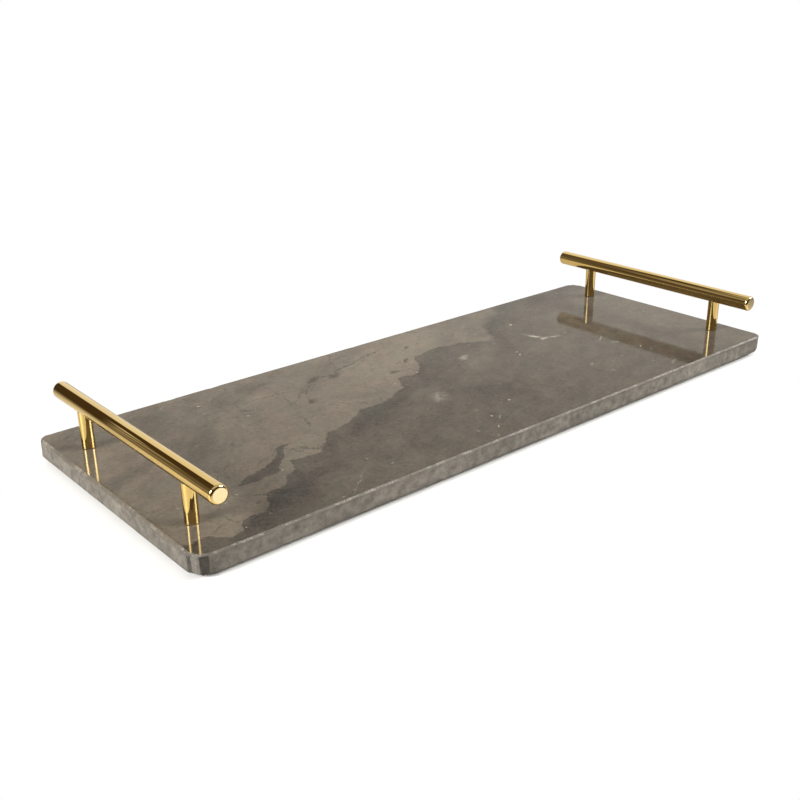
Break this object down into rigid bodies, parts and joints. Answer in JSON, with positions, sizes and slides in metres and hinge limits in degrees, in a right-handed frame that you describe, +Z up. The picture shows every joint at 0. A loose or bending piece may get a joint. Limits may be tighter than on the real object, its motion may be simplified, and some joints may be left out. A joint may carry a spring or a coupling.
{
  "type": "marble serving tray",
  "caption": "Long rectangular slab of grey-brown polished marble with rounded corners, carried by a raised round brass bar handle across each short end, on low rubber feet.",
  "frame": {"origin": "centre of the footprint, on the plane that the feet stand on", "axes": "+X along the tray's length towards the right handle, +Y across it towards the back, +Z up out of the polished top"},
  "size_m": [0.52, 0.2, 0.0506],
  "materials": {
    "polished_marble": "grey-brown marble, polished top, honed sides",
    "polished_brass": "polished brass",
    "zinc_steel": "zinc plated",
    "foot_rubber": "matte black rubber"
  },
  "bodies": {
    "root": {"marble_slab": "polished_marble", "left_handle_bar": "polished_brass", "right_handle_bar": "polished_brass", "left_front_post": "polished_brass", "left_back_post": "polished_brass", "right_front_post": "polished_brass", "right_back_post": "polished_brass", "left_front_stud": "zinc_steel", "left_back_stud": "zinc_steel", "right_front_stud": "zinc_steel", "right_back_stud": "zinc_steel", "left_front_screw": "zinc_steel", "left_back_screw": "zinc_steel", "right_front_screw": "zinc_steel", "right_back_screw": "zinc_steel", "left_front_washer": "zinc_steel", "left_back_washer": "zinc_steel", "right_front_washer": "zinc_steel", "right_back_washer": "zinc_steel", "left_front_foot": "foot_rubber", "left_back_foot": "foot_rubber", "right_front_foot": "foot_rubber", "right_back_foot": "foot_rubber"}
  },
  "joints": []
}
